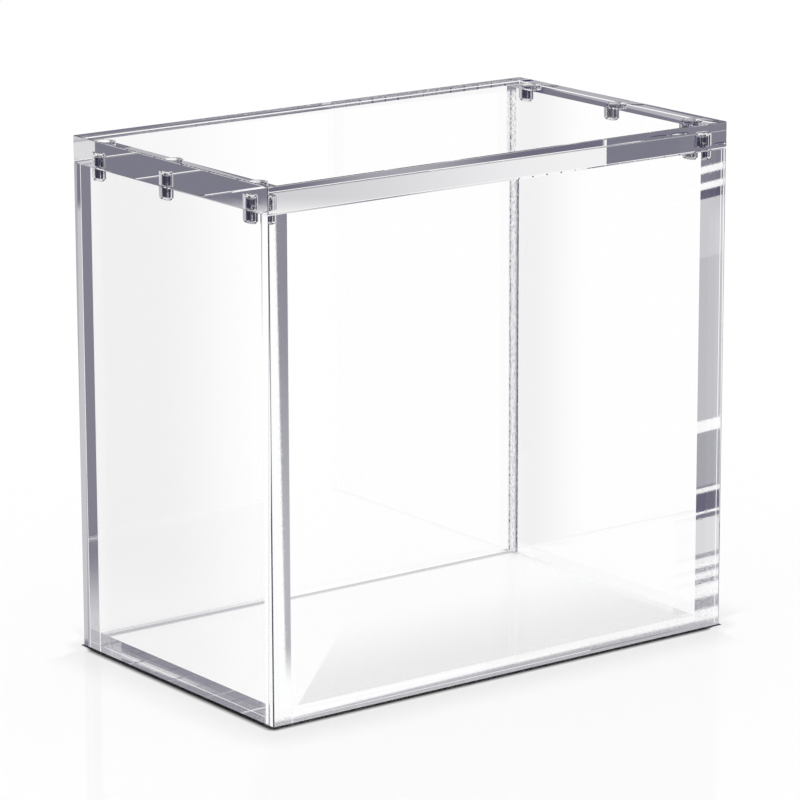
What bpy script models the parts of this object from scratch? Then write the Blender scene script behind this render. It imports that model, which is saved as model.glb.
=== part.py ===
"""Clear acrylic display case with a lift-off lid held by small magnets.

The case stands on the XY plane with its origin at the centre of its underside. +X runs along the long
side, -Y is the front and +Z is up. All lengths are in metres.

Two long face panels run the full length. Two thick end panels stand between them, and the base plate
lies inside all four. The lid is one plain plate that lies on the walls. Each end panel has three blind
holes in its top edge, the lid has three above them, and every hole holds one disc magnet.
"""

import math

import bmesh
import bpy
from mathutils import Matrix

# Outside of the closed case
CASE_LENGTH = 0.1685
CASE_DEPTH = 0.1010
CASE_HEIGHT = 0.1580

# Sheet thickness of each plate
LID_THICKNESS = 0.0080
END_PANEL_THICKNESS = 0.0080
FACE_PANEL_THICKNESS = 0.0036
BASE_THICKNESS = 0.0040

# Cement line between bonded panels, and the air film under the loose lid
CEMENT_GAP = 0.0003
LID_SEAT_GAP = 0.0003

# Polished arris along every panel edge
PANEL_EDGE_BREAK = 0.0003

# Disc magnets
MAGNET_DIAMETER = 0.0060
MAGNET_HEIGHT = 0.0030
MAGNET_EDGE_BREAK = 0.0002

# Blind holes for the magnets, with round-cornered ends
MAGNET_SIDE_CLEARANCE = 0.0002
MAGNET_RECESS = 0.0001
WALL_HOLE_DEPTH = 0.0039
LID_HOLE_DEPTH = 0.0043
HOLE_END_RADIUS = 0.0009
HOLE_MOUTH_OVERRUN = 0.0010

# Where the magnets sit along each end panel. One end is the other turned half round, so the middle
# magnet is off centre towards the back on the left end and towards the front on the right end.
MAGNET_CORNER_INSET = 0.0113
MAGNET_MIDDLE_OFFSET = 0.0034

# Mesh fineness
ROUND_SEGMENTS = 24
HOLE_END_SEGMENTS = 3

WALL_TOP = CASE_HEIGHT - LID_THICKNESS - LID_SEAT_GAP
LID_BOTTOM = CASE_HEIGHT - LID_THICKNESS
MAGNET_LINE_X = CASE_LENGTH / 2 - END_PANEL_THICKNESS / 2

CLEAR_ACRYLIC = (0.94, 0.95, 0.97, 1.0)
NICKEL_PLATE = (0.42, 0.42, 0.45, 1.0)


def clear_scene():
    """Remove every object, so that a second run starts clean."""
    for item in list(bpy.data.objects):
        bpy.data.objects.remove(item, do_unlink=True)


def make_material(name, colour, roughness, metallic, transmission):
    """One Principled material."""
    material = bpy.data.materials.new(name)
    material.use_nodes = True
    shader = material.node_tree.nodes["Principled BSDF"]
    shader.inputs["Base Color"].default_value = colour
    shader.inputs["Roughness"].default_value = roughness
    shader.inputs["Metallic"].default_value = metallic
    shader.inputs["Transmission Weight"].default_value = transmission
    return material


def acrylic(name):
    """Polished clear acrylic sheet."""
    return make_material(name, CLEAR_ACRYLIC, roughness=0.02, metallic=0.0, transmission=1.0)


def nickel(name):
    """Bright nickel plating on a magnet."""
    return make_material(name, NICKEL_PLATE, roughness=0.18, metallic=1.0, transmission=0.0)


def link_mesh(name, shape):
    """Turn a finished bmesh into a linked object."""
    bmesh.ops.recalc_face_normals(shape, faces=shape.faces)
    mesh = bpy.data.meshes.new(name)
    shape.to_mesh(mesh)
    shape.free()
    item = bpy.data.objects.new(name, mesh)
    bpy.context.scene.collection.objects.link(item)
    return item


def make_panel(name, low, high):
    """A flat sheet between two corners, with its origin at its centre and every edge broken."""
    centre = [(a + b) / 2 for a, b in zip(low, high)]
    size = [b - a for a, b in zip(low, high)]
    shape = bmesh.new()
    bmesh.ops.create_cube(shape, size=1.0, matrix=Matrix.Diagonal((*size, 1.0)))
    item = link_mesh(name, shape)
    item.location = centre
    arris = item.modifiers.new("arris", "BEVEL")
    arris.width = PANEL_EDGE_BREAK
    arris.segments = 1
    arris.limit_method = "ANGLE"
    item.data.materials.append(acrylic(name + "_acrylic"))
    return item


def make_turned(name, radius, low, high, end_radius, rounded, segments):
    """An upright round bar from low to high. Its rounded ends are named as 0, the lower, and 1, the upper."""
    shape = bmesh.new()
    bmesh.ops.create_cone(
        shape,
        cap_ends=True,
        segments=ROUND_SEGMENTS,
        radius1=radius,
        radius2=radius,
        depth=high - low,
        matrix=Matrix.Translation((0, 0, (low + high) / 2)),
    )
    caps = [face for face in shape.faces if len(face.verts) == ROUND_SEGMENTS]
    caps.sort(key=lambda face: face.calc_center_median().z)
    rims = [edge for end in rounded for edge in caps[end].edges]
    bmesh.ops.bevel(shape, geom=rims, offset=end_radius, segments=segments, profile=0.5, affect="EDGES")
    item = link_mesh(name, shape)
    item.data.shade_smooth()
    item.data.set_sharp_from_angle(angle=math.radians(40))
    return item


def drill(panel, axis_x, axis_y, mouth_height, depth):
    """Cut one blind magnet hole. A negative depth drills down from the mouth, a positive one up."""
    mouth = mouth_height - math.copysign(HOLE_MOUTH_OVERRUN, depth)
    end = mouth_height + depth
    blind_end = 0 if end < mouth else 1
    cutter = make_turned(
        panel.name + "_hole_guide",
        MAGNET_DIAMETER / 2 + MAGNET_SIDE_CLEARANCE,
        min(mouth, end),
        max(mouth, end),
        HOLE_END_RADIUS,
        rounded=(blind_end,),
        segments=HOLE_END_SEGMENTS,
    )
    cutter.location = (axis_x, axis_y, 0)
    cutter.hide_render = True
    cutter.display_type = "WIRE"
    cut = panel.modifiers.new("magnet_hole", "BOOLEAN")
    cut.operation = "DIFFERENCE"
    cut.solver = "EXACT"
    cut.object = cutter


def make_magnet(name, axis_x, axis_y, bottom):
    """One nickel-plated disc magnet."""
    top = bottom + MAGNET_HEIGHT
    item = make_turned(name, MAGNET_DIAMETER / 2, bottom, top, MAGNET_EDGE_BREAK, rounded=(0, 1), segments=1)
    item.location = (axis_x, axis_y, 0)
    item.data.materials.append(nickel(name + "_nickel"))
    return item


def magnet_rows():
    """Name, X and Y of each magnet axis, three to an end."""
    corner_y = CASE_DEPTH / 2 - MAGNET_CORNER_INSET
    for end_name, side in (("left", -1), ("right", 1)):
        rows = (("front", -corner_y), ("middle", -side * MAGNET_MIDDLE_OFFSET), ("rear", corner_y))
        for row_name, axis_y in rows:
            yield f"{end_name}_{row_name}", side, side * MAGNET_LINE_X, axis_y


def make_face_panels():
    """The front and back panels, which run the full length."""
    for name, side in (("front_panel", -1), ("back_panel", 1)):
        outer = side * CASE_DEPTH / 2
        inner = side * (CASE_DEPTH / 2 - FACE_PANEL_THICKNESS)
        low = (-CASE_LENGTH / 2, min(outer, inner), 0)
        high = (CASE_LENGTH / 2, max(outer, inner), WALL_TOP)
        make_panel(name, low, high)


def make_end_panels():
    """The two thick ends, set between the face panels. Returns them by side."""
    half_depth = CASE_DEPTH / 2 - FACE_PANEL_THICKNESS - CEMENT_GAP
    panels = {}
    for name, side in (("left_end_panel", -1), ("right_end_panel", 1)):
        outer = side * CASE_LENGTH / 2
        inner = side * (CASE_LENGTH / 2 - END_PANEL_THICKNESS)
        low = (min(outer, inner), -half_depth, 0)
        high = (max(outer, inner), half_depth, WALL_TOP)
        panels[side] = make_panel(name, low, high)
    return panels


def make_base():
    """The base plate, which lies inside all four walls."""
    half_length = CASE_LENGTH / 2 - END_PANEL_THICKNESS - CEMENT_GAP
    half_depth = CASE_DEPTH / 2 - FACE_PANEL_THICKNESS - CEMENT_GAP
    make_panel("base_panel", (-half_length, -half_depth, 0), (half_length, half_depth, BASE_THICKNESS))


def make_lid():
    """The plain lid plate, as large as the case."""
    low = (-CASE_LENGTH / 2, -CASE_DEPTH / 2, LID_BOTTOM)
    high = (CASE_LENGTH / 2, CASE_DEPTH / 2, CASE_HEIGHT)
    return make_panel("lid_panel", low, high)


def main():
    clear_scene()
    make_base()
    make_face_panels()
    end_panels = make_end_panels()
    lid = make_lid()
    for place, side, axis_x, axis_y in magnet_rows():
        drill(end_panels[side], axis_x, axis_y, WALL_TOP, -WALL_HOLE_DEPTH)
        drill(lid, axis_x, axis_y, LID_BOTTOM, LID_HOLE_DEPTH)
        make_magnet("wall_magnet_" + place, axis_x, axis_y, WALL_TOP - MAGNET_RECESS - MAGNET_HEIGHT)
        make_magnet("lid_magnet_" + place, axis_x, axis_y, LID_BOTTOM + MAGNET_RECESS)


main()
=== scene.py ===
"""Looks of the clear acrylic display case: polished sheets, nickel magnets, pale floor and soft studio.

Every sheet and magnet of the solid model is replaced by a finer piece of the same size in the same place.
All lengths are in metres. +X runs along the long side, -Y is the front and +Z is up.
"""

import math
from types import SimpleNamespace

import bmesh
import bpy
from mathutils import Matrix, Vector


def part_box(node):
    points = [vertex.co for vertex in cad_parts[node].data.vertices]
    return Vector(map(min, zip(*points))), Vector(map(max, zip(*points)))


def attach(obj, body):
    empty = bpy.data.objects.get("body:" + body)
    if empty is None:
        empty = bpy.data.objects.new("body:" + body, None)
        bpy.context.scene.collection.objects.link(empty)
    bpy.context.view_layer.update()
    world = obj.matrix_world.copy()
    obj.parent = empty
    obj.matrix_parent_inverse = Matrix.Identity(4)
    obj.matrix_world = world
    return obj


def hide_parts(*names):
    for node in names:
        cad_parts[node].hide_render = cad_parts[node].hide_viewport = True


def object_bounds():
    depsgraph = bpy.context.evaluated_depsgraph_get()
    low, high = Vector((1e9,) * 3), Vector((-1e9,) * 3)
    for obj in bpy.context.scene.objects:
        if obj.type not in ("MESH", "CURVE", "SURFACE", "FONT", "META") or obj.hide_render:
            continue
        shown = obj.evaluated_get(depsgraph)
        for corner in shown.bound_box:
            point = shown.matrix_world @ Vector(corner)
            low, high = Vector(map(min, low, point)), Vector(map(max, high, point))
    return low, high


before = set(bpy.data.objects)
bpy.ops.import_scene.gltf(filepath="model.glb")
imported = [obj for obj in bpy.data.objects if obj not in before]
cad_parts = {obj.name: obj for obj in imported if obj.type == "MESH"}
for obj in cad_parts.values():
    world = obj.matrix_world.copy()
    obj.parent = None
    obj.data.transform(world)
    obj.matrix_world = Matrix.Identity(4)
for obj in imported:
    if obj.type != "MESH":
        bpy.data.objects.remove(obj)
cad_low, cad_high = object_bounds()

# Outside of the case in plan
LENGTH = cad_high.x - cad_low.x
DEPTH = cad_high.y - cad_low.y

# Rounded arris along the free edges of a sheet
ARRIS = 0.0003
ARRIS_STEPS = 2

# Magnet holes, measured from the face that the magnet lies behind
HOLE_RADIUS = 0.0032
WALL_HOLE_DEPTH = 0.0039
LID_HOLE_DEPTH = 0.0043
HOLE_END_RADIUS = 0.0009
HOLE_MOUTH_OVERRUN = 0.0010
HOLE_STEPS = 72
HOLE_END_STEPS = 6

# Magnets
DISC_CHAMFER = 0.0002
DISC_CHAMFER_STEPS = 3
DISC_STEPS = 96
DISC_SHARP_ANGLE = math.radians(35)

# How much more a large face counts than a small one where their shading meets
NORMAL_WEIGHT = 100

ACRYLIC_INDEX = 1.50

# Share of light that a face mirrors where none can leave the sheet, with a little room for rounding
TOTAL_REFLECTION = 0.999

# How far a magnet or its hole shows inside a sheet, in a straight line and after a reflection
SIGHT_LENGTH = 0.020
ECHO_LENGTH = 0.0005

WHITE = (1.0, 1.0, 1.0, 1)
BLACK = (0.0, 0.0, 0.0, 1)
WALL_SHADE = (0.20, 0.195, 0.245, 1)

# Faces of the sheets: how their tint drifts
FACE_TINT = (0.9985, 0.9990, 0.9998, 1)
FACE_DRIFT_SCALE = 14.0

# Polished edges and drilled holes: tint, marks of the tool and how rough the marks are
WORKED_TINT = (0.9975, 0.9985, 0.9998, 1)
POLISH_SCALE = 900.0
POLISH_MARKS = (0.35, 0.75)
POLISH_ROUGHNESS = 0.03
DRILL_SCALE = (300.0, 300.0, 2600.0)
DRILL_MARKS = (0.4, 0.8)
DRILL_ROUGHNESS = 0.02

# Nickel plating
NICKEL_TONES = ((0.40, 0.40, 0.42, 1), (0.52, 0.52, 0.55, 1))
NICKEL_CLOUD_SCALE = 700.0
NICKEL_CLOUD = (0.3, 0.7)
NICKEL_ROUGHNESS = (0.03, 0.08)

SHEETS = {
    "base_sheet": ("base_panel", "case"),
    "front_sheet": ("front_panel", "case"),
    "back_sheet": ("back_panel", "case"),
    "left_end_sheet": ("left_end_panel", "case"),
    "right_end_sheet": ("right_end_panel", "case"),
    "lid_sheet": ("lid_panel", "lid"),
}
ENDS = ("left", "right")
ROWS = ("front", "middle", "rear")


# Node helpers


def add_node(tree, kind, **settings):
    """A new node with the given properties set."""
    node = tree.nodes.new(kind)
    for name, value in settings.items():
        setattr(node, name, value)
    return node


def feed(tree, socket, value):
    """Link a socket, or set a plain value, on an input."""
    if isinstance(value, bpy.types.NodeSocket):
        tree.links.new(value, socket)
    else:
        socket.default_value = value


def calc(tree, operation, *values):
    """The output of one Math node."""
    node = add_node(tree, "ShaderNodeMath", operation=operation)
    for socket, value in zip(node.inputs, values):
        feed(tree, socket, value)
    return node.outputs[0]


def fade(tree, value, low, high, start=0.0, end=1.0):
    """A smooth step from start at low to end at high."""
    node = add_node(tree, "ShaderNodeMapRange", interpolation_type="SMOOTHSTEP")
    names = ("Value", "From Min", "From Max", "To Min", "To Max")
    for name, setting in zip(names, (value, low, high, start, end)):
        feed(tree, node.inputs[name], setting)
    return node.outputs["Result"]


def most(tree, *values):
    """The largest of several values."""
    result = values[0]
    for value in values[1:]:
        result = calc(tree, "MAXIMUM", result, value)
    return result


def product(tree, *values):
    """Several values multiplied."""
    result = values[0]
    for value in values[1:]:
        result = calc(tree, "MULTIPLY", result, value)
    return result


def opposite(tree, value):
    """1 minus a value."""
    return calc(tree, "SUBTRACT", 1.0, value)


def mix_colour(tree, factor, first, second):
    """A colour between two colours."""
    node = add_node(tree, "ShaderNodeMix", data_type="RGBA")
    feed(tree, node.inputs["Factor"], factor)
    feed(tree, node.inputs["A"], first)
    feed(tree, node.inputs["B"], second)
    return node.outputs["Result"]


def mix_shader(tree, factor, first, second):
    """A shader between two shaders."""
    node = add_node(tree, "ShaderNodeMixShader")
    feed(tree, node.inputs[0], factor)
    feed(tree, node.inputs[1], first)
    feed(tree, node.inputs[2], second)
    return node.outputs[0]


def new_material(name):
    """An empty Principled material: the material, its tree and its shader."""
    material = bpy.data.materials.new(name)
    material.use_nodes = True
    tree = material.node_tree
    return material, tree, tree.nodes["Principled BSDF"]


def noise(tree, position, scale, detail=2.0, roughness=0.5):
    """The value of a noise texture."""
    node = add_node(tree, "ShaderNodeTexNoise")
    feed(tree, node.inputs["Vector"], position)
    feed(tree, node.inputs["Scale"], scale)
    feed(tree, node.inputs["Detail"], detail)
    feed(tree, node.inputs["Roughness"], roughness)
    return node.outputs["Fac"]


# Materials


def acrylic_shader(shader):
    """Settings that all faces of clear acrylic share."""
    shader.inputs["IOR"].default_value = ACRYLIC_INDEX
    shader.inputs["Transmission Weight"].default_value = 1.0
    shader.inputs["Roughness"].default_value = 0.0


def take_glare_off(tree, shader, tint, roughness):
    """Let a face mirror only where light can't leave the sheet, as the finish of display sheet does."""
    through = add_node(tree, "ShaderNodeBsdfRefraction")
    feed(tree, through.inputs["Color"], tint)
    feed(tree, through.inputs["Roughness"], roughness)
    through.inputs["IOR"].default_value = ACRYLIC_INDEX
    fresnel = add_node(tree, "ShaderNodeFresnel")
    fresnel.inputs["IOR"].default_value = ACRYLIC_INDEX
    mirrors = calc(tree, "GREATER_THAN", fresnel.outputs[0], TOTAL_REFLECTION)
    surface = mix_shader(tree, mirrors, through.outputs[0], shader.outputs[0])
    feed(tree, tree.nodes["Material Output"].inputs["Surface"], surface)


def make_face_acrylic(name, glare):
    """Cast sheet as it comes from under its film: optically clear, with a trace of tint that drifts."""
    material, tree, shader = new_material(name)
    acrylic_shader(shader)
    place = add_node(tree, "ShaderNodeTexCoord").outputs["Object"]
    drift = noise(tree, place, FACE_DRIFT_SCALE, detail=3.0)
    tint = mix_colour(tree, drift, FACE_TINT, WHITE)
    feed(tree, shader.inputs["Base Color"], tint)
    if not glare:
        take_glare_off(tree, shader, tint, 0.0)
    return material


def make_edge_acrylic():
    """Sawn edge after polishing: still clear, with faint marks of the polishing wheel."""
    material, tree, shader = new_material("acrylic_edge")
    acrylic_shader(shader)
    place = add_node(tree, "ShaderNodeTexCoord").outputs["Object"]
    marks = noise(tree, place, POLISH_SCALE, detail=4.0, roughness=0.6)
    tint = mix_colour(tree, marks, WORKED_TINT, WHITE)
    roughness = fade(tree, marks, *POLISH_MARKS, 0.0, POLISH_ROUGHNESS)
    feed(tree, shader.inputs["Base Color"], tint)
    feed(tree, shader.inputs["Roughness"], roughness)
    take_glare_off(tree, shader, tint, roughness)
    return material


def hide_from_echoes(tree, shader):
    """Hide a surface from rays that come from far off inside a sheet, and sooner once they were reflected."""
    light_path = add_node(tree, "ShaderNodeLightPath")
    inside = calc(tree, "MODULO", light_path.outputs["Transmission Depth"], 2.0)
    echoed = calc(tree, "GREATER_THAN", light_path.outputs["Glossy Depth"], 0.5)
    length = light_path.outputs["Ray Length"]
    hidden = most(
        tree,
        calc(tree, "GREATER_THAN", length, SIGHT_LENGTH),
        product(tree, echoed, calc(tree, "GREATER_THAN", length, ECHO_LENGTH)),
    )
    feed(tree, shader.inputs["Alpha"], opposite(tree, product(tree, inside, hidden)))


def make_hole_acrylic():
    """Wall of a drilled hole: clear, with faint rings left by the drill."""
    material, tree, shader = new_material("acrylic_hole")
    acrylic_shader(shader)
    place = add_node(tree, "ShaderNodeTexCoord").outputs["Object"]
    rings = add_node(tree, "ShaderNodeMapping")
    feed(tree, rings.inputs["Vector"], place)
    rings.inputs["Scale"].default_value = DRILL_SCALE
    marks = noise(tree, rings.outputs[0], 1.0)
    feed(tree, shader.inputs["Base Color"], mix_colour(tree, marks, WORKED_TINT, WHITE))
    feed(tree, shader.inputs["Roughness"], fade(tree, marks, *DRILL_MARKS, 0.0, DRILL_ROUGHNESS))
    hide_from_echoes(tree, shader)
    return material


def make_nickel():
    """Bright nickel plating with fine handling marks."""
    material, tree, shader = new_material("nickel_plate")
    hide_from_echoes(tree, shader)
    place = add_node(tree, "ShaderNodeTexCoord").outputs["Object"]
    cloud = noise(tree, place, NICKEL_CLOUD_SCALE, detail=3.0)
    feed(tree, shader.inputs["Base Color"], mix_colour(tree, cloud, *NICKEL_TONES))
    shader.inputs["Metallic"].default_value = 1.0
    feed(tree, shader.inputs["Roughness"], fade(tree, cloud, *NICKEL_CLOUD, *NICKEL_ROUGHNESS))
    return material


# Floor. Rays that come through the acrylic see it as plain white, but for a painted grey rim of shade under
# the walls. Distances are measured from the foot of the case. The painted dark line of contact shadow under
# it and the painted soft shadow round it thin out at the left rear and right front corners, where light comes
# from both sides.
PAINTED_CONTACT_SHADOW_REACH = (0.0008, 0.0036)
CONTACT_SHADE = 0.004
PAINTED_RIM_SHADE_REACH = (0.0045, 0.0065)
PAINTED_RIM_SHADE_TONE = (0.46, 0.46, 0.49, 1)
CORNER_REACH = 0.008
CORNER_THINNING = 3.0
SHADOW_REACH = (0.003, 0.022)
SHADOW_TONE = 0.89
FLOOR_GLOW = 0.88
FLOOR_GLOW_THROUGH = 0.95
FLOOR_GLOSS = 0.05
FLOOR_GLOSS_ROUGHNESS = 0.04


def foot_distances(tree, place):
    """Floor distances outside and inside the foot, and nearness to the corners with thin painted shadows."""
    parts = add_node(tree, "ShaderNodeSeparateXYZ")
    feed(tree, parts.inputs[0], place)
    squares = []
    corner = 1.0
    outward = -LENGTH
    for part, size in zip(parts.outputs, (LENGTH, DEPTH)):
        past = calc(tree, "SUBTRACT", calc(tree, "ABSOLUTE", part), size / 2)
        beyond = calc(tree, "MAXIMUM", past, 0.0)
        squares.append(calc(tree, "MULTIPLY", beyond, beyond))
        corner = calc(tree, "MULTIPLY", corner, fade(tree, past, -CORNER_REACH, 0.0))
        outward = calc(tree, "MAXIMUM", outward, past)
    thin_corner = product(tree, corner, calc(tree, "LESS_THAN", product(tree, *parts.outputs[:2]), 0.0))
    distance = calc(tree, "SQRT", calc(tree, "ADD", *squares))
    return distance, calc(tree, "MULTIPLY", outward, -1.0), thin_corner


def make_floor_material():
    """White floor with a painted dark contact shadow under the case and a painted soft shadow round it."""
    material = bpy.data.materials.new("floor_white_painted_shadow")
    material.use_nodes = True
    material.cycles.emission_sampling = "NONE"
    tree = material.node_tree
    tree.nodes.clear()
    light_path = add_node(tree, "ShaderNodeLightPath")
    seen = light_path.outputs["Is Camera Ray"]
    distance, inward, corner = foot_distances(tree, add_node(tree, "ShaderNodeTexCoord").outputs["Object"])
    thinned = calc(tree, "MULTIPLY", distance, fade(tree, corner, 0.0, 1.0, 1.0, CORNER_THINNING))
    # Painted contact shadow and painted soft shadow, seen by camera rays; the diffuse share below adds a
    # faint real shadow
    painted_shadow_tone = product(
        tree,
        fade(tree, thinned, *PAINTED_CONTACT_SHADOW_REACH, CONTACT_SHADE, 1.0),
        fade(tree, thinned, *SHADOW_REACH, SHADOW_TONE, 1.0),
    )
    # Painted grey rim of shade on the floor just under the walls, seen by rays that come through the acrylic
    is_under = calc(tree, "GREATER_THAN", inward, 0.0)
    painted_rim_shade = product(tree, is_under, fade(tree, inward, *PAINTED_RIM_SHADE_REACH, 1.0, 0.0))
    through = mix_colour(tree, painted_rim_shade, WHITE, PAINTED_RIM_SHADE_TONE)
    colour = mix_colour(tree, seen, through, mix_colour(tree, painted_shadow_tone, BLACK, WHITE))
    diffuse = add_node(tree, "ShaderNodeBsdfDiffuse")
    feed(tree, diffuse.inputs["Color"], colour)
    glow = add_node(tree, "ShaderNodeEmission")
    feed(tree, glow.inputs["Color"], colour)
    share = fade(tree, seen, 0.0, 1.0, FLOOR_GLOW_THROUGH, FLOOR_GLOW)
    plain = mix_shader(tree, share, diffuse.outputs[0], glow.outputs[0])
    gloss = add_node(tree, "ShaderNodeBsdfGlossy")
    gloss.inputs["Color"].default_value = WHITE
    gloss.inputs["Roughness"].default_value = FLOOR_GLOSS_ROUGHNESS
    glossy = mix_shader(tree, product(tree, seen, FLOOR_GLOSS), plain, gloss.outputs[0])
    clear = add_node(tree, "ShaderNodeBsdfTransparent")
    reflected = calc(tree, "GREATER_THAN", light_path.outputs["Glossy Depth"], 0.5)
    surface = mix_shader(tree, reflected, glossy, clear.outputs[0])
    feed(tree, add_node(tree, "ShaderNodeOutputMaterial").inputs["Surface"], surface)
    return material


# Sheets

PLAIN_SLOT, EDGE_SLOT, GLARE_FREE_SLOT = range(3)


def link_mesh(name, shape):
    """A linked object from a finished bmesh."""
    bmesh.ops.recalc_face_normals(shape, faces=shape.faces)
    mesh = bpy.data.meshes.new(name)
    shape.to_mesh(mesh)
    shape.free()
    item = bpy.data.objects.new(name, mesh)
    bpy.context.scene.collection.objects.link(item)
    return item


def is_square(name, normals):
    """True for an edge without an arris: along the lid seam, in a cemented corner, or round the foot."""
    at_foot = any(normal.z < -0.5 for normal in normals)
    at_left = any(normal.x < -0.5 for normal in normals)
    at_right = any(normal.x > 0.5 for normal in normals)
    if name == "lid_sheet":
        return at_right or at_foot and at_left
    if name == "base_sheet":
        return not (at_foot and any(abs(normal.y) > 0.5 for normal in normals))
    if at_foot or "end" in name or any(normal.z > 0.5 for normal in normals):
        return True
    inward = 1 if "front" in name else -1
    return (at_left or at_right) and any(normal.y * inward > 0.5 for normal in normals)


def is_glare_free(name, normal):
    """True for the glare-free broad faces: both of the lid and the front, and the left end's outer one."""
    return name in ("lid_sheet", "front_sheet") or name == "left_end_sheet" and normal.x < -0.5


def make_sheet_blank(name, low, high):
    """One sheet with a rounded arris on its free edges, and slots for plain, edge and glare-free faces."""
    size = high - low
    thin_axis = min(range(3), key=lambda axis: size[axis])
    shape = bmesh.new()
    bmesh.ops.create_cube(shape, size=1.0, matrix=Matrix.Diagonal((*size, 1.0)))
    for face in shape.faces:
        face.normal_update()
        broad = abs(face.normal[thin_axis]) > 0.5
        broad_slot = GLARE_FREE_SLOT if is_glare_free(name, face.normal) else PLAIN_SLOT
        face.material_index = broad_slot if broad else EDGE_SLOT
    edges = [edge for edge in shape.edges if not is_square(name, [face.normal for face in edge.link_faces])]
    bmesh.ops.bevel(
        shape, geom=edges, offset=ARRIS, segments=ARRIS_STEPS, profile=0.5, affect="EDGES", material=EDGE_SLOT
    )
    item = link_mesh(name, shape)
    item.location = (low + high) / 2
    return item


def make_hole_cutter(hole_acrylic, centre_x, centre_y, mouth_height, depth):
    """The shape of one blind hole with a round-cornered end. A negative depth goes down from the mouth."""
    mouth = mouth_height - math.copysign(HOLE_MOUTH_OVERRUN, depth)
    end = mouth_height + depth
    shape = bmesh.new()
    bmesh.ops.create_cone(
        shape,
        cap_ends=True,
        segments=HOLE_STEPS,
        radius1=HOLE_RADIUS,
        radius2=HOLE_RADIUS,
        depth=abs(end - mouth),
        matrix=Matrix.Translation((0, 0, (mouth + end) / 2)),
    )
    caps = [face for face in shape.faces if len(face.verts) == HOLE_STEPS]
    blind = min(caps, key=lambda face: abs(face.calc_center_median().z - end))
    bmesh.ops.bevel(
        shape,
        geom=list(blind.edges),
        offset=HOLE_END_RADIUS,
        segments=HOLE_END_STEPS,
        profile=0.5,
        affect="EDGES",
    )
    for face in shape.faces:
        face.smooth = True
    cutter = link_mesh("hole_cutter", shape)
    cutter.data.materials.append(hole_acrylic)
    cutter.location = (centre_x, centre_y, 0)
    return cutter


def finish_mesh(item):
    """Keep what the modifiers give, shaded so that flats and straight walls stay true beside roundings."""
    shading = item.modifiers.new("shading", "WEIGHTED_NORMAL")
    shading.mode = "FACE_AREA"
    shading.weight = NORMAL_WEIGHT
    shading.keep_sharp = True
    finished = bpy.data.meshes.new_from_object(item.evaluated_get(bpy.context.evaluated_depsgraph_get()))
    item.modifiers.clear()
    item.data = finished


def drill(item, cutters):
    """Cut the holes out of a sheet for good, and remove the cutters."""
    for cutter in cutters:
        cut = item.modifiers.new("hole", "BOOLEAN")
        cut.operation = "DIFFERENCE"
        cut.solver = "EXACT"
        cut.material_mode = "TRANSFER"
        cut.object = cutter
    finish_mesh(item)
    for cutter in cutters:
        bpy.data.objects.remove(cutter, do_unlink=True)


def magnet_nodes(kind, ends=ENDS):
    """Names of the magnet nodes of one kind, wall or lid."""
    return [f"{kind}_magnet_{end}_{row}" for end in ends for row in ROWS]


def hole_cutters(hole_acrylic, kind, ends, mouth_height, depth):
    """A cutter round each magnet of the given ends."""
    cutters = []
    for node in magnet_nodes(kind, ends):
        low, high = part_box(node)
        centre = (low + high) / 2
        cutters.append(make_hole_cutter(hole_acrylic, centre.x, centre.y, mouth_height, depth))
    return cutters


def build_sheets(sheet_acrylics, hole_acrylic):
    """All six sheets with their acrylics in the order of the slots, drilled where magnets sit."""
    for name, (node, body) in SHEETS.items():
        low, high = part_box(node)
        item = make_sheet_blank(name, low, high)
        for acrylic in sheet_acrylics:
            item.data.materials.append(acrylic)
        if node == "lid_panel":
            drill(item, hole_cutters(hole_acrylic, "lid", ENDS, low.z, LID_HOLE_DEPTH))
        if node.endswith("end_panel"):
            drill(item, hole_cutters(hole_acrylic, "wall", (node.split("_")[0],), high.z, -WALL_HOLE_DEPTH))
        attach(item, body)
        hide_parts(node)


# Magnets


def make_disc(name, low, high):
    """One disc magnet with a turned chamfer at both ends."""
    radius = (high.x - low.x) / 2
    shape = bmesh.new()
    bmesh.ops.create_cone(
        shape,
        cap_ends=True,
        segments=DISC_STEPS,
        radius1=radius,
        radius2=radius,
        depth=high.z - low.z,
    )
    caps = [face for face in shape.faces if len(face.verts) == DISC_STEPS]
    rims = [edge for cap in caps for edge in cap.edges]
    bmesh.ops.bevel(
        shape, geom=rims, offset=DISC_CHAMFER, segments=DISC_CHAMFER_STEPS, profile=0.5, affect="EDGES"
    )
    item = link_mesh(name, shape)
    item.location = (low + high) / 2
    item.data.shade_smooth()
    item.data.set_sharp_from_angle(angle=DISC_SHARP_ANGLE)
    finish_mesh(item)
    return item


def build_magnets(nickel):
    """Six discs in the wall tops and six in the lid."""
    for kind, body in (("wall", "case"), ("lid", "lid")):
        for node in magnet_nodes(kind):
            item = make_disc(node.replace("magnet", "disc"), *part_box(node))
            item.data.materials.append(nickel)
            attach(item, body)
            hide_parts(node)


# Studio

FLOOR_HALF = 4.0
FLOOR_LEVEL = -0.0002


def build_floor():
    """A large plain floor just under the case."""
    shape = bmesh.new()
    bmesh.ops.create_grid(shape, x_segments=1, y_segments=1, size=FLOOR_HALF)
    floor = link_mesh("floor", shape)
    floor.location.z = FLOOR_LEVEL
    floor.data.materials.append(make_floor_material())


# Studio walls. A direction is described by two angles in degrees: turn, from the Y axis towards the X axis,
# and height above or below the horizon. Shade is 0 for white and 1 for the purple grey of the walls. A pair
# of angles says where a shade starts to change and where it has changed. A line is a place along one angle,
# its place across there and its slope.

# Reflections that a ray has behind it, each halfway below the next whole number
ONCE = 0.5
TWICE = 1.5
OFTEN = 4.5
DEEP = 6.5

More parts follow.
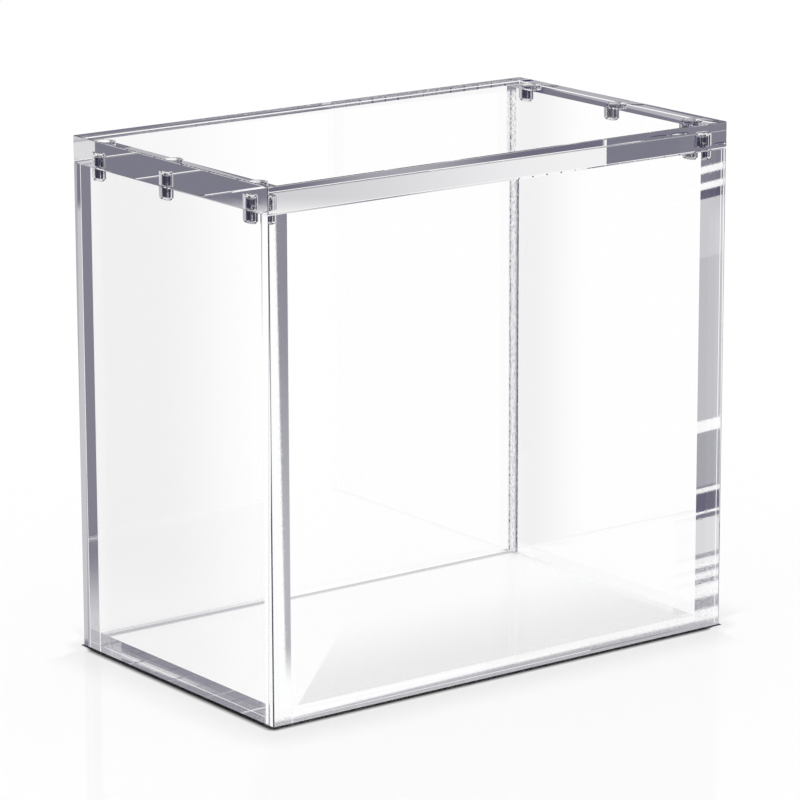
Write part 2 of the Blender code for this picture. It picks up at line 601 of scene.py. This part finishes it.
# Walls near the axes, the lamps that cut into them, and the wall between them on the left in front
SIDE_TURNS = (31.4, 31.8, 41.8, 42.2)
SIDE_HEIGHT = (19.0, 21.0)
SIDE_SHADE = 1.15
SIDE_SHADE_ABOVE = 0.35
SIDE_SHARE_BEYOND = 0.3
SIDE_LAMP_TURN = (46.0, 48.0)
FAR_LAMP_TURN = (43.0, 46.0)
FRONT_WALL_SHADE = 0.65

# Belt of wall round the horizon
BELT_HEIGHT = (11.2, 11.6)
BELT_LEFT_TURN = 39.2
BELT_UPPER_TURN = (32.4, 33.8)
BELT_UPPER_SHADES = (0.35, 1.0)
BELT_LOWER_TURN = (35.0, 39.4)
BELT_LOWER_SHADES = (0.46, 0.15)

# Low wall, and the soft lobe beside it
LOW_WALL_TURN = (34.72, 34.8)
LOW_WALL_TOP_HEIGHT = (16.9, 17.1)
LOBE_TURN = (33.2, 34.9)
LOBE_HEIGHT = (15.9, 16.9)
LOBE_LOW_SHARE = 0.2

# What rays with many reflections see of the low wall, the corner and the foot
DEEP_TURN = (33.3, 34.1)
DEEP_SHADE = 0.55
DEEP_STRIP_HEIGHT = (16.2, 17.0)
DEEP_STRIP_LIGHTS = (0.45, 0.75)
DEEP_STRIP_END_HEIGHT = (17.05, 17.15)
DEEP_CORNER_TURN = (32.9, 33.3)
DEEP_CORNER_SHADE = 0.7
CORNER_MARK_HEIGHT = (15.55, 15.95)
FOOT_HEIGHT = (17.98, 18.06)
FOOT_SHADE = 0.85

# Beam beside the upright rear corner, the line along that corner, and the floor mirrored in it
BEAM_START_TURN = (38.22, 38.26)
BEAM_END_TURN = (38.4, 39.3)
BEAM_SHADE = 1.2
CORNER_LINE_TURN = (38.143, 38.165)
CORNER_LINE_SOFTNESS = 0.003
CORNER_LINE_SHADE = 1.1
CORNER_FLOOR_TURN = (38.13, 38.27)

# Sloping band, and the shade over part of the case's floor
BAND_LINE = (36.63, 17.85, -0.231)
BAND_EDGE = (-0.01, 0.02)
BAND_SHADE = 0.68
FLOOR_SHADE_LINE = (37.0, 16.55, -0.22)
FLOOR_SHADE_DEPTH = 1.05
FLOOR_SHADE = 0.6
FLOOR_SHADE_END = (18.1, 35.13, -0.61)
FLOOR_SHADE_END_WIDTH = 0.04

# Dark flag behind on the left, and the light wall that shows along the foot beyond it
FLAG_LINE = (11.6, 34.9325, 0.013)
FLAG_EDGE_WIDTH = 0.02
FLAG_FADE_TURN = (38.0, 39.2)
FLAG_FADE_HEIGHT = (12.0, 16.5)
FLAG_LOW_SHADE = 0.72
FLAG_END_HEIGHT = (17.2, 17.8)
FOOT_LINE_TURN = (38.2, 38.3)
FOOT_LINE_HEIGHT = (15.85, 15.95)
FOOT_LINE_SHARE = 0.1

# Wall that the lid's rear edge and right end mirror
LID_REAR_LINE = (35.30, 10.015, -0.113)
LID_REAR_DEPTH = (0.10, 0.14)
LID_REAR_SHADE = 0.9
LID_REAR_DEEP_SHADE = 0.95
LID_REAR_END_TURN = (38.3, 38.4)
LID_END_HEIGHT = (10.15, 10.25)
LID_END_SHADE = 0.7

# Dark battens of the ceiling, and the strip over the front
BATTEN_CHANGE_TURN = (38.25, 38.35)
LEFT_BATTENS = ((-0.012, 0.012), (0.045, 0.065))
LEFT_JOINED_TURN = (35.3, 35.9)
LEFT_JOINED_SHADE = 0.75
RIGHT_BATTEN_LINE = (38.83, 9.78, 0.24)
RIGHT_BATTENS = ((-0.02, 0.01), (0.04, 0.115))
STRIP_LINE = (36.65, 10.875, -0.131)
STRIP_DEPTH = (-0.06, 0.25)
STRIP_LEFT_TURN = (34.9, 36.6)
STRIP_RIGHT_TURN = (36.8, 38.4)
STRIP_SHADE = 1.05
STRIP_MIDDLE_SHADE = 0.78
STRIP_END_TURN = (39.4, 39.45)

# Slats: where they start, how they lean, and the height at which each slat starts with its shade
SLAT_TURN = 40.45
SLAT_LEAN = 0.26
SLAT_CENTRE_TURN = 40.9
SLAT_RANGE = (10.0, 18.0)
SLATS = (
    (10.00, 0.98),
    (10.77, 0.00),
    (10.86, 1.00),
    (10.98, 0.00),
    (11.09, 1.12),
    (11.20, 0.50),
    (12.00, 0.60),
    (14.17, 0.00),
    (14.32, 0.78),
    (15.05, 0.95),
    (15.09, 0.10),
    (15.14, 1.12),
    (15.38, 0.00),
    (15.42, 1.05),
    (15.48, 0.35),
    (15.95, 0.78),
    (16.02, 0.15),
    (16.08, 0.00),
    (16.13, 0.90),
    (16.20, 0.00),
    (16.29, 0.90),
    (16.35, 0.00),
    (16.56, 0.80),
    (16.69, 0.00),
)


def between(tree, value, low, high, soft=0.01):
    """1 between two values, with soft ends."""
    risen = fade(tree, value, low - soft, low + soft)
    return product(tree, risen, fade(tree, value, high - soft, high + soft, 1.0, 0.0))


def past_line(tree, along, across, line):
    """How far a value across is past a sloping line."""
    start, start_across, slope = line
    line_across = calc(tree, "MULTIPLY_ADD", calc(tree, "SUBTRACT", along, start), slope, start_across)
    return calc(tree, "SUBTRACT", across, line_across)


def describe_ray(tree, direction, reflections):
    """The angles of a ray, which side it goes to, and how often it was reflected."""
    x, y, z = direction
    turn = calc(tree, "ARCTAN2", calc(tree, "ABSOLUTE", x), calc(tree, "ABSOLUTE", y))
    return SimpleNamespace(
        turn=calc(tree, "DEGREES", turn),
        height=calc(tree, "ABSOLUTE", calc(tree, "DEGREES", calc(tree, "ARCSINE", z))),
        right=calc(tree, "GREATER_THAN", x, 0.0),
        left=calc(tree, "LESS_THAN", x, 0.0),
        rear=calc(tree, "GREATER_THAN", y, 0.0),
        front=calc(tree, "LESS_THAN", y, 0.0),
        up=calc(tree, "GREATER_THAN", z, 0.0),
        down=calc(tree, "LESS_THAN", z, 0.0),
        once=calc(tree, "GREATER_THAN", reflections, ONCE),
        twice=calc(tree, "GREATER_THAN", reflections, TWICE),
        often=calc(tree, "GREATER_THAN", reflections, OFTEN),
        deep=calc(tree, "GREATER_THAN", reflections, DEEP),
    )


def slat_shade(tree, ray):
    """Light and dark slats that lean with the turn."""
    from_centre = calc(tree, "SUBTRACT", ray.turn, SLAT_CENTRE_TURN)
    lean = calc(tree, "MULTIPLY_ADD", from_centre, SLAT_LEAN, ray.height)
    low, high = SLAT_RANGE
    node = add_node(tree, "ShaderNodeValToRGB")
    feed(tree, node.inputs[0], calc(tree, "DIVIDE", calc(tree, "SUBTRACT", lean, low), high - low))
    ramp = node.color_ramp
    ramp.interpolation = "CONSTANT"
    for index, (start, shade) in enumerate(SLATS):
        place = (start - low) / (high - low)
        element = ramp.elements[0] if index == 0 else ramp.elements.new(place)
        element.position = place
        element.color = (shade, shade, shade, 1)
    ramp.elements.remove(ramp.elements[-1])
    past_start = calc(tree, "GREATER_THAN", ray.turn, SLAT_TURN)
    before_side = calc(tree, "LESS_THAN", ray.turn, SIDE_TURNS[2])
    return product(tree, ray.twice, past_start, before_side, node.outputs["Color"])


def side_shade(tree, ray, aside):
    """Walls near the axes, lighter where they are seen from above by one reflection."""
    from_above = product(tree, ray.up, opposite(tree, ray.twice))
    shade = fade(tree, from_above, 0.0, 1.0, SIDE_SHADE, SIDE_SHADE_ABOVE)
    return product(tree, ray.once, aside, fade(tree, ray.height, *SIDE_HEIGHT, 1.0, 0.0), shade)


def beam_shade(tree, ray):
    """Beam with a crisp start that fades as it turns away."""
    start = fade(tree, ray.turn, *BEAM_START_TURN)
    return product(tree, ray.once, ray.down, start, fade(tree, ray.turn, *BEAM_END_TURN, BEAM_SHADE, 0.0))


def floor_shade(tree, ray):
    """Shade over the case's floor, deeper towards the front and cut off along a diagonal."""
    depth = past_line(tree, ray.turn, ray.height, FLOOR_SHADE_LINE)
    end = past_line(tree, ray.height, ray.turn, FLOOR_SHADE_END)
    return product(
        tree,
        ray.up,
        fade(tree, depth, 0.0, FLOOR_SHADE_DEPTH, 0.0, FLOOR_SHADE),
        fade(tree, end, 0.0, FLOOR_SHADE_END_WIDTH),
    )


def flag_shade(tree, ray):
    """Dark flag with a crisp edge, lighter lower down."""
    return product(
        tree,
        ray.once,
        fade(tree, past_line(tree, ray.height, ray.turn, FLAG_LINE), 0.0, FLAG_EDGE_WIDTH),
        fade(tree, ray.turn, *FLAG_FADE_TURN, 1.0, 0.0),
        fade(tree, ray.height, *FLAG_FADE_HEIGHT, 1.0, FLAG_LOW_SHADE),
        fade(tree, ray.height, *FLAG_END_HEIGHT, 1.0, 0.0),
    )


def ceiling_shade(tree, ray):
    """Dark battens of the ceiling beyond the case, which the lid's rear and front edges mirror."""
    left = past_line(tree, ray.turn, ray.height, LID_REAR_LINE)
    right = past_line(tree, ray.turn, ray.height, RIGHT_BATTEN_LINE)
    strip = past_line(tree, ray.turn, ray.height, STRIP_LINE)
    joined = fade(tree, ray.turn, *LEFT_JOINED_TURN, 0.0, LEFT_JOINED_SHADE)
    left_battens = most(
        tree,
        *(between(tree, left, *batten) for batten in LEFT_BATTENS),
        product(tree, joined, between(tree, left, LEFT_BATTENS[0][0], LEFT_BATTENS[-1][1])),
    )
    right_battens = most(tree, *(between(tree, right, *batten) for batten in RIGHT_BATTENS))
    strip_shade = most(
        tree,
        fade(tree, ray.turn, *STRIP_LEFT_TURN, STRIP_SHADE, STRIP_MIDDLE_SHADE),
        fade(tree, ray.turn, *STRIP_RIGHT_TURN, STRIP_MIDDLE_SHADE, STRIP_SHADE),
    )
    return most(
        tree,
        product(tree, fade(tree, ray.turn, *BATTEN_CHANGE_TURN, 1.0, 0.0), left_battens),
        product(tree, fade(tree, ray.turn, *BATTEN_CHANGE_TURN), right_battens),
        product(
            tree,
            between(tree, strip, *STRIP_DEPTH),
            strip_shade,
            fade(tree, ray.turn, *STRIP_END_TURN, 1.0, 0.0),
        ),
    )


def shared_shades(tree, ray):
    """Parts of the studio that show in more than one quarter of it."""
    turn, height = ray.turn, ray.height
    aside = most(tree, fade(tree, turn, *SIDE_TURNS[:2], 1.0, 0.0), fade(tree, turn, *SIDE_TURNS[2:]))
    lid_rear_depth = past_line(tree, turn, height, LID_REAR_LINE)
    return SimpleNamespace(
        aside=aside,
        side=side_shade(tree, ray, aside),
        belt=fade(tree, height, *BELT_HEIGHT, 1.0, 0.0),
        before_slats=calc(tree, "LESS_THAN", turn, SLAT_TURN),
        slats=slat_shade(tree, ray),
        lobe=product(tree, ray.once, ray.down, fade(tree, turn, *LOBE_TURN, 1.0, 0.0)),
        low_wall=product(tree, ray.once, fade(tree, turn, *LOW_WALL_TURN, 1.0, 0.0)),
        beam=beam_shade(tree, ray),
        band=product(
            tree,
            ray.twice,
            fade(tree, past_line(tree, turn, height, BAND_LINE), *BAND_EDGE, 0.0, BAND_SHADE),
        ),
        floor=floor_shade(tree, ray),
        lid_rear=product(
            tree,
            fade(tree, lid_rear_depth, *LID_REAR_DEPTH, 1.0, 0.0),
            fade(tree, turn, *LID_REAR_END_TURN, 1.0, 0.0),
        ),
        not_deep=opposite(tree, ray.deep),
    )


def right_front_shade(tree, ray, shared):
    """The quarter on the right in front."""
    turn, height = ray.turn, ray.height
    lamp = product(tree, ray.twice, fade(tree, turn, *SIDE_LAMP_TURN))
    outer_strip = product(
        tree,
        ray.deep,
        fade(tree, turn, *DEEP_TURN, 1.0, 0.0),
        fade(tree, height, *DEEP_STRIP_HEIGHT, *DEEP_STRIP_LIGHTS),
        fade(tree, height, *DEEP_STRIP_END_HEIGHT, 1.0, 0.0),
    )
    foot = product(tree, fade(tree, turn, *SIDE_LAMP_TURN), fade(tree, height, *FOOT_HEIGHT, 0.0, FOOT_SHADE))
    corner_line = between(tree, turn, *CORNER_LINE_TURN, CORNER_LINE_SOFTNESS)
    return most(
        tree,
        product(tree, shared.side, opposite(tree, lamp)),
        product(tree, shared.lobe, shared.not_deep, fade(tree, height, *LOBE_HEIGHT, 1.0, LOBE_LOW_SHARE)),
        product(tree, ray.deep, shared.low_wall, fade(tree, turn, *DEEP_TURN, DEEP_SHADE, 1.0)),
        product(tree, ray.deep, foot),
        product(tree, ray.twice, shared.belt),
        product(tree, shared.low_wall, ray.up, opposite(tree, outer_strip)),
        shared.beam,
        product(tree, ray.once, ray.down, corner_line, CORNER_LINE_SHADE),
        product(tree, ray.twice, shared.floor, between(tree, turn, *CORNER_FLOOR_TURN)),
        product(tree, ray.once, ray.down, shared.lid_rear, LID_REAR_SHADE),
    )


def left_rear_shade(tree, ray, shared):
    """The quarter on the left behind."""
    turn, height = ray.turn, ray.height
    foot_line = product(tree, fade(tree, turn, *FOOT_LINE_TURN), fade(tree, height, *FOOT_LINE_HEIGHT))
    clear_foot = fade(tree, foot_line, 0.0, 1.0, 1.0, FOOT_LINE_SHARE)
    past_belt = calc(tree, "GREATER_THAN", turn, BELT_LEFT_TURN)
    return most(
        tree,
        shared.side,
        shared.lobe,
        product(tree, most(tree, flag_shade(tree, ray), shared.beam), shared.not_deep, clear_foot),
        shared.band,
        product(tree, ray.down, ray.twice, shared.low_wall, fade(tree, height, *LOW_WALL_TOP_HEIGHT)),
        product(tree, ray.twice, shared.belt, past_belt, shared.before_slats),
        shared.slats,
    )


def right_rear_shade(tree, ray, shared):
    """The quarter on the right behind."""
    turn = ray.turn
    upper_belt = product(tree, ray.up, fade(tree, turn, *BELT_UPPER_TURN, *BELT_UPPER_SHADES))
    lower_belt = product(tree, ray.down, fade(tree, turn, *BELT_LOWER_TURN, *BELT_LOWER_SHADES))
    corner_mark = between(tree, ray.height, *CORNER_MARK_HEIGHT)
    return most(
        tree,
        product(tree, shared.side, SIDE_SHARE_BEYOND),
        product(tree, ray.twice, shared.belt, shared.before_slats, most(tree, upper_belt, lower_belt)),
        product(tree, ray.once, ray.up, ceiling_shade(tree, ray)),
        shared.band,
        product(tree, ray.once, shared.floor, opposite(tree, ray.twice)),
        product(tree, ray.deep, fade(tree, turn, *DEEP_CORNER_TURN, DEEP_CORNER_SHADE, 0.0)),
        product(tree, ray.twice, ray.down, fade(tree, turn, *DEEP_CORNER_TURN, 1.0, 0.0), corner_mark),
        shared.slats,
    )


def left_front_shade(tree, ray, shared):
    """The quarter on the left in front."""
    far_lamp = product(tree, ray.often, fade(tree, ray.turn, *FAR_LAMP_TURN))
    return most(
        tree,
        product(tree, shared.side, opposite(tree, far_lamp)),
        product(tree, ray.once, FRONT_WALL_SHADE, fade(tree, shared.aside, 0.0, 1.0, 1.0, 0.0)),
        shared.beam,
    )


def studio_shade(tree, direction, reflections, inside):
    """Shade of the studio in a direction, for a ray with so many reflections, inside a sheet or not."""
    ray = describe_ray(tree, direction, reflections)
    shared = shared_shades(tree, ray)
    lid_end = product(
        tree,
        fade(tree, ray.height, *LID_END_HEIGHT, LID_END_SHADE, 0.0),
        fade(tree, ray.turn, *LID_REAR_END_TURN),
    )
    return most(
        tree,
        product(tree, ray.right, ray.front, right_front_shade(tree, ray, shared)),
        product(tree, ray.left, ray.rear, left_rear_shade(tree, ray, shared)),
        product(tree, ray.right, ray.rear, inside, right_rear_shade(tree, ray, shared)),
        product(tree, ray.left, ray.front, left_front_shade(tree, ray, shared)),
        product(tree, ray.deep, most(tree, product(tree, shared.lid_rear, LID_REAR_DEEP_SHADE), lid_end)),
    )


# Share of the walls' shade that lights the floor
SHADOW_SHARE = 0.25


def build_world():
    """White studio. Rays that were reflected inside the acrylic or on metal see its darker walls."""
    world = bpy.data.worlds.new("studio")
    world.use_nodes = True
    bpy.context.scene.world = world
    tree = world.node_tree
    tree.nodes.clear()
    direction = add_node(tree, "ShaderNodeSeparateXYZ")
    feed(tree, direction.inputs[0], add_node(tree, "ShaderNodeTexCoord").outputs["Generated"])
    light_path = add_node(tree, "ShaderNodeLightPath")
    inside = calc(tree, "GREATER_THAN", light_path.outputs["Transmission Depth"], 0.5)
    shade = studio_shade(tree, direction.outputs, light_path.outputs["Glossy Depth"], inside)
    from_floor = calc(tree, "GREATER_THAN", light_path.outputs["Diffuse Depth"], 0.5)
    share = fade(tree, from_floor, 0.0, 1.0, 1.0, SHADOW_SHARE)
    colour = add_node(tree, "ShaderNodeMix", data_type="RGBA", clamp_factor=False)
    feed(tree, colour.inputs["Factor"], product(tree, shade, share))
    feed(tree, colour.inputs["A"], WHITE)
    feed(tree, colour.inputs["B"], WALL_SHADE)
    background = add_node(tree, "ShaderNodeBackground")
    feed(tree, background.inputs["Color"], colour.outputs["Result"])
    feed(tree, add_node(tree, "ShaderNodeOutputWorld").inputs["Surface"], background.outputs[0])


# Camera, placed as the photograph was taken
CAMERA_PLACE = Vector((-0.7517, -1.0093, 0.3870))
CAMERA_YAW = math.radians(36.637)
CAMERA_PITCH = math.radians(13.956)
CAMERA_ROLL = math.radians(-0.168)
CAMERA_LENS = 192.13
SENSOR_WIDTH = 36.0
CAMERA_CLIP = (0.01, 50.0)


def build_camera():
    """The camera, turned by yaw about +Z, pitched down and rolled."""
    ahead = Vector(
        (
            math.sin(CAMERA_YAW) * math.cos(CAMERA_PITCH),
            math.cos(CAMERA_YAW) * math.cos(CAMERA_PITCH),
            -math.sin(CAMERA_PITCH),
        )
    )
    level = Vector((math.cos(CAMERA_YAW), -math.sin(CAMERA_YAW), 0.0))
    upright = level.cross(ahead)
    right = math.cos(CAMERA_ROLL) * level + math.sin(CAMERA_ROLL) * upright
    up = math.cos(CAMERA_ROLL) * upright - math.sin(CAMERA_ROLL) * level
    camera = bpy.data.objects.new("camera", bpy.data.cameras.new("camera"))
    bpy.context.scene.collection.objects.link(camera)
    turned = Matrix((right, up, -ahead)).transposed().to_4x4()
    turned.translation = CAMERA_PLACE
    camera.matrix_world = turned
    camera.data.sensor_width = SENSOR_WIDTH
    camera.data.lens = CAMERA_LENS
    camera.data.clip_start, camera.data.clip_end = CAMERA_CLIP
    bpy.context.scene.camera = camera


# Bounces of light between the faces of a sheet
LIGHT_BOUNCES = 48


def set_light_paths():
    """Enough bounces for light that is trapped between the faces of a sheet."""
    scene = bpy.context.scene
    scene.view_settings.view_transform = "Standard"
    scene.cycles.max_bounces = LIGHT_BOUNCES
    scene.cycles.glossy_bounces = LIGHT_BOUNCES
    scene.cycles.transmission_bounces = LIGHT_BOUNCES
    scene.cycles.use_denoising = True


def main():
    plain = make_face_acrylic("acrylic_face", glare=True)
    glare_free = make_face_acrylic("acrylic_display_face", glare=False)
    build_sheets((plain, make_edge_acrylic(), glare_free), make_hole_acrylic())
    build_magnets(make_nickel())
    build_floor()
    build_world()
    build_camera()
    set_light_paths()


main()
